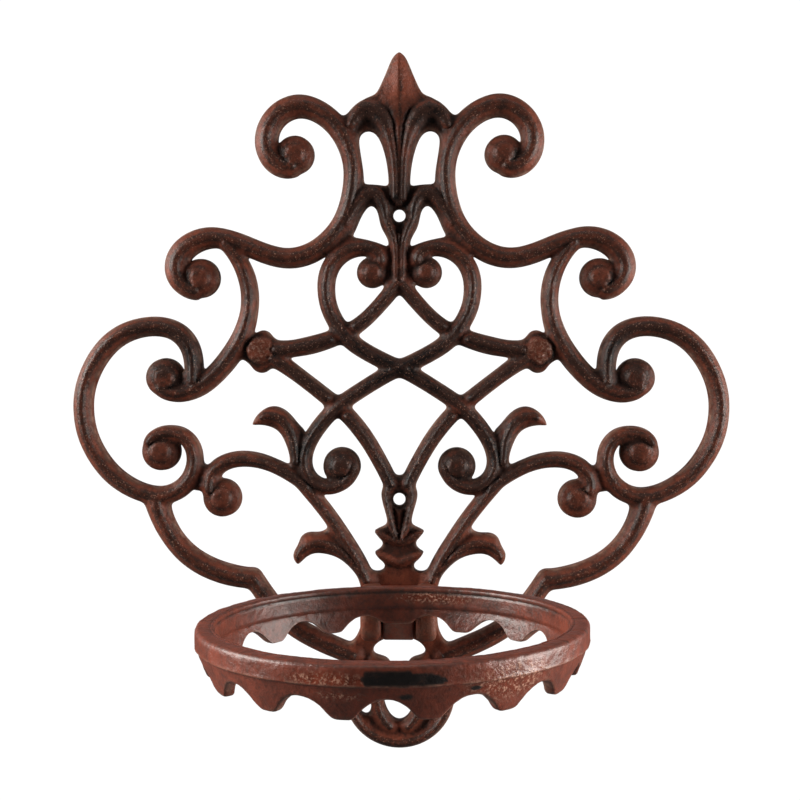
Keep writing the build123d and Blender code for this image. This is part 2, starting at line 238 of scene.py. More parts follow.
def hex_grid(low, high, step, rng):
    """Staggered rows of points over a box, each moved a little."""
    rows = np.arange(low[1], high[1], step * HEX_ROW)
    columns = np.arange(low[0], high[0], step)
    x, z = np.meshgrid(columns, rows)
    x = x + (np.arange(len(rows)) % 2)[:, None] * step / 2
    points = np.column_stack([x.ravel(), z.ravel()])
    return points + rng.uniform(-JITTER, JITTER, points.shape) * step


def thin_out(points, gap, taken):
    """Drop the points that lie closer than the gap to those already taken."""
    tree = point_tree(taken)
    return np.array([p for p in points if tree.find((p[0], p[1], 0))[2] > gap])


def self_thin(points, gap):
    """Drop each point that lies closer than the gap to an earlier one."""
    cells, kept = {}, []
    for x, z in points:
        column, row = int(x // gap), int(z // gap)
        near = (cells.get((column + i, row + j)) for i in (-1, 0, 1) for j in (-1, 0, 1))
        if all(n is None or (n[0] - x) ** 2 + (n[1] - z) ** 2 > gap * gap for n in near):
            cells[(column, row)] = (x, z)
            kept.append((x, z))
    return np.array(kept)


def numbered(loops):
    """The indices of each loop's points in all the loops' points together."""
    starts = np.cumsum([0] + [len(loop) for loop in loops])
    return [np.arange(first, last) for first, last in zip(starts[:-1], starts[1:])]


def triangulate(points, loops_at):
    """Triangles over the points, inside the closed loops given by their indices."""
    edges = [(a, b) for loop in loops_at for a, b in zip(loop, np.roll(loop, -1))]
    found = geometry.delaunay_2d_cdt([Vector(p) for p in points], edges, [], 0, 1e-7, True)
    verts, faces, sources = np.array([tuple(v) for v in found[0]]), np.array(found[2]), found[3]
    place = np.full(len(points), -1)
    for i, source in enumerate(sources):
        for s in source:
            place[s] = i
    bounds = [place[loop] for loop in loops_at]
    on_edge = np.zeros(len(verts), bool)
    on_edge[np.concatenate(bounds)] = True
    doubtful = on_edge[faces].all(1)
    keep = ~doubtful
    middles = verts[faces[doubtful]].mean(1)
    keep[doubtful] = inside(middles, [verts[loop] for loop in bounds])
    return verts, faces[keep], bounds


def band(upper, lower):
    """Triangles between two loops that have the same number of points."""
    next_upper, next_lower = np.roll(upper, -1), np.roll(lower, -1)
    return np.vstack([np.column_stack([upper, lower, next_lower]),
                      np.column_stack([upper, next_lower, next_upper])])


def smooth_over(values, faces, rounds):
    """Average each point's value with its neighbours', again and again."""
    sides = np.vstack([faces[:, [0, 1]], faces[:, [1, 2]], faces[:, [2, 0]]])
    a, b = np.unique(np.sort(sides, axis=1), axis=0).T
    count = np.bincount(np.concatenate([a, b]), minlength=len(values))
    for _ in range(rounds):
        total = np.bincount(a, values[b], len(values)) + np.bincount(b, values[a], len(values))
        values = values * 0.4 + 0.6 * total / np.maximum(count, 1)
    return values


# ---------------- plate relief

# Heights above the wall, and widths across the bars
RIDGE_TOP = 8.5        # the CAD ridges' top face
UNDER_TOP = 0.04       # the skin stays this far under it
EDGE_HEIGHT = 3.6      # where the front meets the side walls
EDGE_REACH = 3.2       # no part rises more steeply from the edge than a quarter round this wide
SHOULDER = 1.0         # rounding of the edge
SHOULDER_RISE = 0.9
FLANK_RISE = 2.7       # from the shoulder to the foot of the bead
FLANK_REACH = 4.8      # on broad panels the flank is no wider than this
BEAD_RISE = 0.95       # bead along each ridge
BEAD_HALF = 2.2
BEAD_POWER = 1.3
BEAD_SPREAD = 0.5      # the bead starts this far outside the ridge's outline
RUB_SPREAD = 1.5       # the black rubbed over the bead fades out over this distance
GROOVE = 0.1           # depth of the groove beside the bead
GROOVE_OUT = 0.25
GROOVE_HALF = 0.5
COUNTERSINK_R = 4.3
COUNTERSINK_DEPTH = 3.15
SCREW_PAD = 6.0        # the plate is no higher than this round a screw
WAVY = [(10, 0.14, 3), (3.2, 0.05, 4)]   # unevenness as cast: wavelength, height, seed

# Soft strands modelled on top of the panels: rows of (x, z from the upper screw, half width),
# drawn on the right and mirrored, with the height of foot and crest, and how dark the crest is.
STRANDS = [
    ([(21.6, 40, 2.6), (18.4, 45.6, 4.2), (13.6, 47.2, 5.0), (9.4, 45.2, 5.0), (6.4, 41, 4.4),
      (4.5, 36, 3.5), (3.2, 30.2, 2.7), (2.3, 24.4, 2.4), (1.8, 14, 2.4), (1.8, 7.4, 2.1)], 4.4, 7.7, 0.62),
    ([(24, -4, 2.2), (21.2, 1.6, 3.0), (18.0, 6.9, 3.6), (13.6, 10, 3.9), (9.8, 9.4, 3.6),
      (7.3, 5.4, 3.0), (6.2, 1.2, 2.7), (5.6, -2.8, 2.5), (4.0, -6, 2.4), (2.8, -9, 2.2),
      (2.0, -12.5, 2.1), (1.6, -17, 2.1), (1.5, -27, 2.0), (1.5, -31, 1.2)], 4.6, 7.7, 0.66),
    ([(0, 38, 2.2), (0, 32, 2.1), (0, 22, 1.7), (0, 4.5, 1.7)], 5.0, 7.1, 0.6),
    ([(0, -9, 1.0), (0, -14, 1.5), (0, -20, 1.6), (0, -31, 1.3)], 5.0, 7.0, 0.6),
    ([(0, -121, 1.6), (0, -128, 2.6), (0, -136, 2.2), (0, -143, 1.2)], 4.6, 6.1, 0.25),
    ([(3.7, -119, 1.5), (5.3, -123.6, 1.8), (5.8, -128, 1.9), (5.0, -132.6, 2.0), (4.0, -137, 2.0),
      (2.9, -141, 1.8), (1.2, -145, 1.3)], 4.9, 7.5, 0.5),
    ([(11.2, -142.6, 1.2), (7.4, -144.2, 2.2), (3.6, -146, 2.3), (0, -147, 2.2)], 4.7, 7.2, 0.45),
    ([(11, -152, 1.2), (7.2, -153.6, 2.2), (3.5, -155.4, 2.3), (0, -156.6, 2.2)], 4.7, 7.2, 0.45),
]

# Ridges of the CAD plate that the strands stand in for: boxes of |x| and z from the upper screw
COVERED = [(0, 21.4, 1, 70), (0, 21.4, -11, 11), (0, 2.6, -30, -6), (0, 2.6, -160, -133)]

# The finial, by height above the upper screw: its crest, and the half width of its root
SPEAR_CREST = ([30, 40, 50, 58, 66, 71, 73], [5.2, 6.2, 7.5, 8.2, 7.7, 6.3, 5.0])
SPEAR_ROOT = ([34, 40, 46, 50, 54], [0.6, 1.9, 3.9, 6.0, 8.2])
SPEAR_FOOT = 42        # the facets start here
FACET_POWER = 0.8      # below 1, so the facets bulge
ROOT_HEIGHT = 7.3

# Coiled ends: centre and radius; and the knots of the lattice
BOSSES = [(46.8, 27.2, 8.7), (89.7, -28, 8.9), (106, -72.9, 8.9), (108, -106.3, 8.9),
          (80.3, -127.4, 8.8), (12.2, -25.5, 7.1), (26, -112.9, 8.6), (8.8, -204, 5.2)]
DISC_SHARE = 0.5       # the domed disc's share of the boss's radius
DISC_RISE = 0.5
DISC_MOAT = 0.8        # distance out to the hollow ring round the disc, and its half width
KNOTS = [(62.6, -60.6, 8.2)]
KNOT_TOP = 8.0
KNOT_ROUND = 1.3       # how far a knot's cap falls to its edge
CAP_SHARE = 0.76       # the cap's share of the knot's radius

# Where the black patina is thickest: centre, reach across and reach up
SOOT = [(0, -66, 52, 26), (0, 4, 26, 16), (0, -128, 14, 26), (34, -104, 22, 16), (13, 44, 12, 8),
        (100, -62, 22, 12)]


def rounded(path, rounds=3):
    """The same open path with its corners cut."""
    path = np.asarray(path, float)
    for _ in range(rounds):
        near, far = path[:-1] * 0.75 + path[1:] * 0.25, path[:-1] * 0.25 + path[1:] * 0.75
        path = np.vstack([path[:1], np.stack([near, far], 1).reshape(-1, path.shape[1]), path[-1:]])
    return path


def along_strand(points, path):
    """How far each point is from the strand's line, as a share of the strand's half width there."""
    share = np.full(len(points), 9.0)
    low, high = path[:, :2].min(0) - 5, path[:, :2].max(0) + 5
    close = np.where(((points > low) & (points < high)).all(1))[0]
    near = points[close]
    best, half = np.full(len(near), 99.0), np.ones(len(near))
    for start, end in zip(path[:-1], path[1:]):
        step = end[:2] - start[:2]
        at = np.clip((near - start[:2]) @ step / max((step ** 2).sum(), 1e-9), 0, 1)
        gap = np.linalg.norm(near - start[:2] - at[:, None] * step, axis=1)
        half = np.where(gap < best, start[2] + at * (end[2] - start[2]), half)
        best = np.minimum(best, gap)
    share[close] = best / half
    return share


def bars(from_edge, in_ridge):
    """Flanks that climb from the rounded edge to the bead, and the bead."""
    from_ridge = np.maximum(-in_ridge, 0)
    rounding = 1 - (1 - np.minimum(from_edge / SHOULDER, 1)) ** 2
    flank = np.minimum(from_edge + from_ridge, FLANK_REACH)
    climb = 1 - np.minimum(from_ridge / np.maximum(flank, 1e-6), 1)
    height = EDGE_HEIGHT + SHOULDER_RISE * rounding + FLANK_RISE * climb
    bead = np.clip((in_ridge + BEAD_SPREAD) / BEAD_HALF, 0, 1)
    bead = np.sin(bead * pi / 2) ** BEAD_POWER
    groove = hill(in_ridge, -GROOVE_OUT, GROOVE_HALF)
    crest = smoothstep(0.3, 0.9, in_ridge)
    # black patina over the bead, a little less on its crest, and painted shade in the groove beside it
    dark = smoothstep(-RUB_SPREAD, 0.2, in_ridge) * (0.85 - 0.15 * crest) + 0.12 * groove
    return height + BEAD_RISE * bead - GROOVE * groove, dark


def finial(points, from_edge, height, dark):
    """Two facets that meet in a crest, with a dark line down it."""
    across, up = np.abs(points[:, 0]), points[:, 1] - SCREW_Z
    share = from_edge / (from_edge + across + 0.1)
    rise = (np.interp(up, *SPEAR_CREST) - EDGE_HEIGHT) * share ** FACET_POWER
    roof = EDGE_HEIGHT + rise * smoothstep(SPEAR_FOOT, SPEAR_FOOT + 8, up)
    height = np.where(up > SPEAR_FOOT, soft_max(height, roof), height)
    line = hill(points[:, 0], 0.7, 1.0) * smoothstep(33, 42, up) * smoothstep(70, 60, up)
    return height, np.maximum(dark * smoothstep(56, 48, up), 0.8 * line)


def finial_root(points, mirrored, height, dark):
    """Where the finial runs out to a point between the two lobes."""
    across, up = mirrored[:, 0], mirrored[:, 1]
    in_root = smoothstep(0.6, -0.6, across - np.interp(up, *SPEAR_ROOT))
    in_root = in_root * smoothstep(33, 36, up) * smoothstep(56, 50, up)
    height = height + (ROOT_HEIGHT - 0.25 * across - height) * 0.75 * in_root
    wanted = 0.12 + 0.6 * hill(points[:, 0], 0.5, 0.8)
    return height, dark + (wanted - dark) * in_root


def strands(mirrored, height, dark):
    """Round-topped strands that run into each other softly."""
    for path, foot, crest, darkness in STRANDS:
        share = np.clip(along_strand(mirrored, rounded(path)), 0, 1)
        under = share < 1
        height = np.where(under, soft_max(height, foot + (crest - foot) * (1 - share ** 2)), height)
        dark = np.maximum(dark, darkness * smoothstep(1.0, 0.35, share) * under)
    return height, dark


def bosses(points, mirrored, in_ridge, height, dark):
    """Domed discs in the coils, with less black on the disc's top and painted shade in the moat round them."""
    for x, z, radius in BOSSES:
        gap = np.linalg.norm(mirrored - (x, z), axis=1)
        disc = radius * DISC_SHARE
        dome = np.clip(1 - (gap / disc) ** 2, 0, 1)
        moat = hill(gap - disc, DISC_MOAT, DISC_MOAT) * smoothstep(0.1, -0.9, in_ridge)
        on_boss = smoothstep(radius, radius * 0.75, gap)
        lumps = ripple(points, 2.6, 17) * smoothstep(disc + 0.8, disc * 0.7, gap)
        height = height + DISC_RISE * dome - 0.2 * moat + 0.2 * lumps
        # less black on the disc's top; painted shade in the moat; more black patina over the rest of the boss
        dark = dark * (1 - 0.3 * (gap < disc)) + 0.22 * moat + 0.22 * on_boss * (dark < 0.4)
    return height, dark


def knots(points, mirrored, height, dark):
    """Rough lumpy caps where three bars meet, in a crevice darkened with painted shade, with gloss and painted
    glints on the caps.
    """
    gloss_and_glint = np.zeros(len(points))
    for x, z, radius in KNOTS:
        cap = CAP_SHARE * radius
        gap = np.linalg.norm(mirrored - (x, z), axis=1) + 0.5 * ripple(points, 5, 19)
        on_cap = smoothstep(cap, cap - 1.0, gap)
        dome = KNOT_TOP - KNOT_ROUND * (gap / cap) ** 2 + 0.4 * ripple(points, 2.8, 15)
        outer_side = 0.3 + 0.7 * smoothstep(-4, 2, mirrored[:, 0] - x)
        crevice = hill(gap - cap, 0.4, 0.8) * outer_side
        height = height + (dome - height) * on_cap - 0.7 * crevice
        # painted shade in the crevice, deeper on the outer side
        dark = dark + (0.3 - dark) * on_cap + 0.7 * crevice
        # gloss and painted glints on the cap
        gloss_and_glint = np.maximum(gloss_and_glint, 0.38 * on_cap)
    return height, dark, gloss_and_glint


def countersinks(points, height, dark):
    """A level pad round each screw hole, with a cone down to the hole."""
    for up in (SCREW_Z, -SCREW_Z):
        radius = np.linalg.norm(points - (0, up), axis=1)
        cone = COUNTERSINK_DEPTH + np.maximum(radius - SCREW_R, 0)
        pad = smoothstep(COUNTERSINK_R + 1.6, COUNTERSINK_R + 0.2, radius)
        height = height + (np.minimum(height, SCREW_PAD) - height) * pad
        height = np.where(radius < COUNTERSINK_R, np.minimum(cone, height), height)
        dark = dark * (1 - smoothstep(COUNTERSINK_R + 0.6, COUNTERSINK_R, radius) * 0.7)
    return height, dark


def sooty(mirrored):
    """How thick the black patina is, in the broad areas where it gathers."""
    soot_and_shade = np.zeros(len(mirrored))
    for x, z, across, up in SOOT:
        share = ((mirrored - (x, z)) ** 2 / (across ** 2, up ** 2)).sum(1)
        soot_and_shade = np.maximum(soot_and_shade, np.exp(-share))
    return soot_and_shade


def covered(ridge):
    """Whether a ridge of the CAD plate is one that the strands stand in for."""
    x, z = np.abs(ridge[:, 0]), ridge[:, 1] - SCREW_Z
    return any(x.min() >= x0 - 0.1 and x.max() <= x1 and z.min() >= z0 and z.max() <= z1
               for x0, x1, z0, z1 in COVERED)


class PlateRelief:
    """Height of the plate's front above the wall at any point, and how its paint wears."""

    def __init__(self, outline, ridges):
        self.edge = Distance(outline)
        self.ridge = Distance(ridges)

    def __call__(self, points):
        from_edge = np.maximum(self.edge(points), 0)
        in_ridge = self.ridge(points)
        mirrored = np.column_stack([np.abs(points[:, 0]), points[:, 1] - SCREW_Z])
        height, dark = bars(from_edge, in_ridge)
        height, dark = finial(points, from_edge, height, dark)
        height, dark = strands(mirrored, height, dark)
        height, dark = finial_root(points, mirrored, height, dark)
        height, dark = bosses(points, mirrored, in_ridge, height, dark)
        height, dark, gloss_and_glint = knots(points, mirrored, height, dark)
        height, dark = countersinks(points, height, dark)
        wavy = sum(rise * ripple(points, size, seed) for size, rise, seed in WAVY)
        height = height + wavy * smoothstep(0, 1.6, from_edge)
        round_edge = np.sqrt(1 - (1 - np.minimum(from_edge / EDGE_REACH, 1)) ** 2)
        height = np.minimum(height, EDGE_HEIGHT + (RIDGE_TOP - EDGE_HEIGHT) * round_edge)
        height = np.minimum(height, RIDGE_TOP - UNDER_TOP)
        # pale along the edges: worn paint and a painted rim highlight
        shades = {"relief": dark, "wear_and_rim_light": smoothstep(1.2, 0.1, from_edge), "soot_and_shade": sooty(mirrored),
                  "gloss_and_glint": gloss_and_glint}
        return height, shades


# ---------------- plate

OUTLINE_STEP = 0.7
RELIEF_STEP = 0.7
FILL_STEP = 0.9
LINE_GAP = 0.42        # least distances between points of the rows, and of the fill
FILL_GAP = 0.6
SHOULDER_ROW = 0.5     # the shoulder's row of points is this far in from the front's edge
BEAD_CLEAR = 0.75      # the beads' rows and the fill keep this far from the edges
FILL_CLEAR = 0.8
BEAD_ROWS = (0.02, 0.55, 1.15, -0.45, -1.0)   # rows of points this far inside each ridge
DRAFT = 0.25           # the side walls lean in by this at the front
BACK_EDGE = 0.5        # height of the small bevel round the back
BACK_TUCK = 0.3        # its width
HOLLOW_ROUNDS = 25     # how widely the painted shade in the hollows spreads
HOLLOW_GAIN = 1.4      # how much of it a millimetre of depth gives
# How corners are softened: rounds, share filled at inner ones and share trimmed at outer ones
OUTLINE_SOFT = (16, 0.5, 0.12)
RIDGE_SOFT = (14, 0.4, 0.4)
# Paint of the side walls: at the back bevel's upper edge and at the back
WALL_SHADES = {"relief": (0, 0), "wear_and_rim_light": (0.6, 0.15), "hollow": (0, 0), "soot_and_shade": (0.3, 0.3), "gloss_and_glint": (0, 0)}


def plate_outlines():
    """The casting's outline and openings with softened corners, and the screw holes as they are."""
    outline = []
    for loop in cad_loops("back_plate", 0):
        loop = resample(loop, 0.5)
        is_hole = np.ptp(loop, axis=0).max() < 2.4 * SCREW_R
        outline.append(resample(loop if is_hole else soften(loop, *OUTLINE_SOFT), OUTLINE_STEP))
    return outline


def front_points(relief, outline, front, ridges):
    """Points inside the front: rows along the shoulder and the beads, then an even fill."""
    shoulder = near_points(outline, DRAFT + SHOULDER_ROW, relief.edge, 0.93, RELIEF_STEP)
    beads = np.vstack([near_points(ridges, offset, relief.ridge, 0.9, RELIEF_STEP) for offset in BEAD_ROWS])
    beads = beads[relief.edge(beads) > DRAFT + BEAD_CLEAR]
    lines = self_thin(np.vstack([beads, shoulder]), LINE_GAP)
    rim = np.vstack(front)
    fill = hex_grid(rim.min(0), rim.max(0), FILL_STEP, np.random.default_rng(11))
    fill = fill[relief.edge(fill) > FILL_CLEAR]
    fill = thin_out(fill, FILL_GAP, np.vstack([lines, rim]))
    inner = np.vstack([lines, fill])
    return inner[inside(inner, front)]


def front_skin(outline):
    """The plate's front: its points, triangles, rims and paint."""
    ridges = [soften(resample(loop, 0.4), *RIDGE_SOFT) for loop in cad_loops("back_plate", RIDGE_TOP)]
    ridges = [loop for loop in ridges if not covered(loop)]
    relief = PlateRelief(outline, ridges)
    front = [loop + inward(loop) * DRAFT for loop in outline]
    inner = front_points(relief, outline, front, ridges)
    verts, faces, rims = triangulate(np.vstack(front + [inner]), numbered(front))
    height, shades = relief(verts)
    # Painted shade: where the skin lies below its smoothed self it is darkened, as in a hollow
    depth = smooth_over(height, faces, HOLLOW_ROUNDS) - height
    shades["hollow"] = np.clip(depth * HOLLOW_GAIN, 0, 1)
    return np.column_stack([verts[:, 0], -height, verts[:, 1]]), faces, rims, shades


def wall_points(line):
    """Two more rows for one side wall: the back bevel's upper edge, and the edge of the back."""
    tucked = line + inward(line) * BACK_TUCK
    return np.vstack([np.column_stack([row[:, 0], np.full(len(row), -up), row[:, 1]])
                      for row, up in ((line, BACK_EDGE), (tucked, 0.0))])


def back_skin(points, edges):
    """The flat back, as triangles inside the edges where the walls end."""
    flat = points[np.concatenate(edges)][:, [0, 2]]
    _, faces, bounds = triangulate(flat, numbered(edges))
    lookup = {}
    for ids, bound in zip(edges, bounds):
        lookup.update(zip(bound.tolist(), ids.tolist()))
    return np.array([[lookup[c], lookup[b], lookup[a]] for a, b, c in faces.tolist()])


def make_plate():
    """The scrollwork casting as one closed skin."""
    outline = plate_outlines()
    front, front_faces, rims, shades = front_skin(outline)
    points, faces, edges = [front], [front_faces], []
    count = len(front)
    for rim, line in zip(rims, outline):
        size = len(line)
        bevel, edge = count + np.arange(size), count + size + np.arange(size)
        points.append(wall_points(line))
        faces += [band(rim, bevel), band(bevel, edge)]
        edges.append(edge)
        count += 2 * size
    points = np.vstack(points)
    faces.append(back_skin(points, edges))
    for key, levels in WALL_SHADES.items():
        walls = [np.repeat(np.array(levels, float), len(line)) for line in outline]
        shades[key] = np.concatenate([shades[key]] + walls)
    return points, np.vstack(faces), shades


# ---------------- ring

SCALLOPS = 15
SKIRT_FOOT_R = 69.8
SKIRT_THICK = 4.0
SKIRT_HEIGHT = 20.1
SKIRT_INSET = 0.95      # the skirt starts this far inside the band
FOOT_ROUND = 0.9        # height of the rounding along the scallops' edge
REAR_SHORTER = 1.5      # the scallops at the back are cast this much shorter
HINGE_TAB = 15.9        # the scallop over the hinge is cut short
ARCH_TOP = 12.3
ARCH_POWER = 2.15       # how the arch falls away from its top
SCALLOP_FLAT = 7.6
BAND_R = RING_R - 0.1
BAND_HEIGHT = 8.0
BORE_R = 67.6
BORE_HEIGHT = 9.0
BORE_BULGE = 0.6        # the skirt's inside starts this far outside the bore
TOP_ROUND = 1.9         # rounding of the outer top edge
TOP_SAG = 0.08          # how far the top lies below the CAD ring's
# Rows of the section, as (further out than the bore or the band, drop below the top)
STEP_ROWS = [(0, 7.6), (0, 6.2), (0, 4.8), (0, 3.6), (0, 2.9), (0.35, 2.5), (0.3, 2.1), (0, 1.7),
             (0, 0.9), (0.15, 0.35), (0.5, 0.05), (1.0, 0.05), (1.35, 0.32), (1.7, 0.1), (2.5, 0.05),
             (3.3, 0.05), (4.3, 0.05), (5.1, TOP_SAG)]
BAND_ROWS = [(0, 2.7), (0, 3.5), (0, 4.3), (0, 5.1), (0, 5.9), (0, 6.6), (0.08, 7.1), (0, 7.45),
             (-0.35, 7.75), (-0.8, 8.0), (-0.95, 8.4)]
BORE_ROWS = [(0.65, BORE_HEIGHT + 0.6), (0.45, BORE_HEIGHT + 0.1), (0, BORE_HEIGHT - 0.4)]
# Across the skirt's foot, as (share of its thickness, height above the foot)
FOOT_ROWS = [(0.03, 0.4), (0.12, 0.1), (0.3, 0), (0.7, 0), (0.88, 0.1), (0.97, 0.4)]
RING_STEPS = 900
SKIRT_ROWS = 9
ROLL = 0.012            # the casting leans a little to one side
SEAMS = (0.0, 180.0, -32.0)   # mould seams across the top, in degrees about the middle
SEAM_DEPTH = 0.3
SEAM_HALF = 0.45
LIP_DROP = 7.3          # the band's lower lip, painted pale along it as a highlight line
STEP_DROP = 2.3         # the step in the bore, darkened along it as painted shade
# A near-black patch on the front of the band: distance round from the front, and drops of its
# upper and lower edge
PATCH = ([-8.0, -7.0, -6.6, 6.8, 9.0, 15, 18.5, 20.6], [4.5, 3, 2.0, 1.9, 3.0, 3.2, 4.2, 5.4],
         [5.0, 6.6, 7.2, 7.3, 7.3, 7.2, 7.0, 6.0])
# Ovals of patina, and of glossy paint with painted glints: way round from the front, drop,
# half width and half height; the last is at the back, by its x
SPOTS = [(7.0, 11.2, 2.2, 0.9), (31.5, 9.6, 2.0, 0.8)]
GLOSS_AND_GLINT = [(-20, 5.2, 13, 2.2), (46, 8.5, 16, 6), (-16, 11, 8, 1.2)]
REAR_GLOSS_AND_GLINT = [(16, 4.4, 17, 2.2)]


def skirt_foot(angle):
    """How far the scalloped lower edge lies below the ring's top, at an angle about its middle."""
    pitch = 2 * pi / SCALLOPS
    turn = (angle - pi / 2) % pitch - pitch / 2
    across = np.abs(turn) * SKIRT_FOOT_R
    half = (pitch * SKIRT_FOOT_R - SCALLOP_FLAT) / 2
    height = SKIRT_HEIGHT - REAR_SHORTER * smoothstep(-0.4, 1, np.sin(angle))
    foot = ARCH_TOP + (height - ARCH_TOP) * np.minimum(across / half, 1) ** ARCH_POWER
    off_hinge = smoothstep(radians(9), radians(13), np.abs(angle - pi / 2))
    foot = np.minimum(foot, HINGE_TAB + 6 * off_hinge)
    for _ in range(9):
        foot = foot * 0.5 + (np.roll(foot, 1) + np.roll(foot, -1)) * 0.25
    return foot


def outer_skirt(drop):
    top, share = RING_R - SKIRT_INSET, (drop - BAND_HEIGHT) / (SKIRT_HEIGHT - BAND_HEIGHT)
    return top - (top - SKIRT_FOOT_R) * share


def inner_skirt(drop):
    top, share = BORE_R + BORE_BULGE, (drop - BORE_HEIGHT) / (SKIRT_HEIGHT - BORE_HEIGHT)
    return top - (top - SKIRT_FOOT_R + SKIRT_THICK) * share


def ring_rows(foot):
    """The ring's section as rows of (radius, drop): up the bore, over the top, down and round."""
    rows = [(BORE_R + out, drop) for out, drop in STEP_ROWS]
    for turn in (radians(80), radians(62), radians(45), radians(28), radians(10)):
        rows.append((BAND_R - TOP_ROUND * (1 - cos(turn)), TOP_SAG + TOP_ROUND * (1 - sin(turn))))
    rows += [(BAND_R + out, drop) for out, drop in BAND_ROWS]
    outer_top, inner_top = BAND_HEIGHT + 0.4, BORE_HEIGHT + 0.9
    for k in range(1, SKIRT_ROWS + 1):
        drop = outer_top + (foot - FOOT_ROUND - outer_top) * k / SKIRT_ROWS
        rows.append((outer_skirt(drop), drop))
    outer, inner = outer_skirt(foot), inner_skirt(foot)
    rows += [(outer + (inner - outer) * share, foot - up) for share, up in FOOT_ROWS]
    for k in range(SKIRT_ROWS, 0, -1):
        drop = inner_top + (foot - FOOT_ROUND - inner_top) * k / SKIRT_ROWS
        rows.append((inner_skirt(drop), drop))
    return rows + [(BORE_R + out, drop) for out, drop in BORE_ROWS]


def ovals(across, drop, places, outer, inner):
    """1 inside the ovals, fading to 0 from the inner to the outer share of their size."""
    found = np.zeros(drop.shape)
    for at, down, wide, high in places:
        share = np.hypot((across - at) / wide, (drop - down) / high)
        found = np.maximum(found, smoothstep(outer, inner, share))
    return found


def front_black(around, drop):
    """The near-black patch and the patina spots on the front."""
    flat = np.column_stack([np.broadcast_to(around, drop.shape).ravel(), drop.ravel()])
    wobble = ripple(flat, 3.0, 61).reshape(drop.shape) * 0.25
    upper, lower = (np.interp(around, PATCH[0], drops) for drops in PATCH[1:])
    patch = smoothstep(-0.3, 0.3, np.minimum(drop - upper, lower - drop) + wobble)
    patch = patch * (around > PATCH[0][0]) * (around < PATCH[0][-1])
    return np.maximum(patch, ovals(around, drop, SPOTS, 1.3, 0.7))


def ring_soot_and_shade(angle, radius, drop, rear):
    """Black patina along the rounded top edge, with painted shade making it darker at the front and back than at
    the sides, and painted shade over the inside at the back.
    """
    side = smoothstep(0.2, 0.9, np.abs(np.cos(angle)))[:, None]
    # painted shade: more black at the front and back than at the sides, where the side lights fall
    soot_and_side_shade = 0.35 + 0.45 * (1 - side)
    rounding = hill(drop, 0.7, 0.7) * (radius > RING_R - 2)
    top = soot_and_side_shade * np.maximum(rounding, 0.55 * smoothstep(1.0, 0.0, drop))
    # painted shade over the inside at the back
    return np.maximum(top, 0.6 * rear + 0.12)


def ring_shades(angle, points, drop):
    """Black patina, painted shade, gloss with painted glints, and pale edges of wear and painted highlight over
    the ring, by the way round and the drop below its top.
    """
    radius = np.linalg.norm(points[:, :, :2], axis=2)
    outside = radius > inner_skirt(drop) + SKIRT_THICK * 0.6
    around = ((angle + pi / 2 + pi) % (2 * pi) - pi)[:, None] * RING_R
    rear = smoothstep(0.1, 0.8, np.sin(angle))[:, None] * ~outside
    black = front_black(around, drop)
    # gloss with painted glints in patches on the band, and inside at the back
    gloss_and_glint = ovals(around, drop, GLOSS_AND_GLINT, 1.5, 0.5) * outside * (1 - black)
    gloss_and_glint = gloss_and_glint + ovals(points[:, :, 0], drop, REAR_GLOSS_AND_GLINT, 1.4, 0.4) * rear
    # pale along the scallops' edge: worn paint and a painted rim highlight
    wear_and_rim_light = smoothstep(1.4, 0.1, np.abs(drop - skirt_foot(angle)[:, None])) * 0.8
    # painted highlight: a pale line along the band's lower lip
    wear_and_rim_light = np.maximum(wear_and_rim_light, 0.8 * hill(drop, LIP_DROP, 0.35) * outside)
    soot_and_shade = np.maximum(ring_soot_and_shade(angle, radius, drop, rear), 2.4 * black * outside)
    # painted shade along the step in the bore
    step = 0.8 * hill(drop, STEP_DROP, 0.5) * (radius < BORE_R + 0.5)
    return {"relief": 0 * drop, "wear_and_rim_light": wear_and_rim_light, "hollow": step, "soot_and_shade": soot_and_shade, "gloss_and_glint": gloss_and_glint}


def seam_cut(angle, drop):
    """Depth of the mould seams across the ring's top."""
    seam = np.zeros(len(angle))
    for at in SEAMS:
        gap = ((angle - radians(at) + pi) % (2 * pi) - pi) * RING_R
        seam = np.maximum(seam, hill(gap, 0, SEAM_HALF))
    return SEAM_DEPTH * seam[:, None] * smoothstep(1.2, 0.3, drop)


def grid_normals(points):
    """Unit normals of a closed grid of points, as one list."""
    along, around = (np.roll(points, -1, axis) - np.roll(points, 1, axis) for axis in (1, 0))
    normal = np.cross(along, around).reshape(-1, 3)
    return normal / np.maximum(np.linalg.norm(normal, axis=1), 1e-9)[:, None]


def grid_faces(rows, columns):
    """Quads over a grid of points that closes both ways."""
    a = np.arange(rows * columns).reshape(rows, columns)
    b = np.roll(a, -1, 0)
    c, d = np.roll(b, -1, 1), np.roll(a, -1, 1)
    return np.stack([a, d, c, b], axis=-1).reshape(-1, 4)


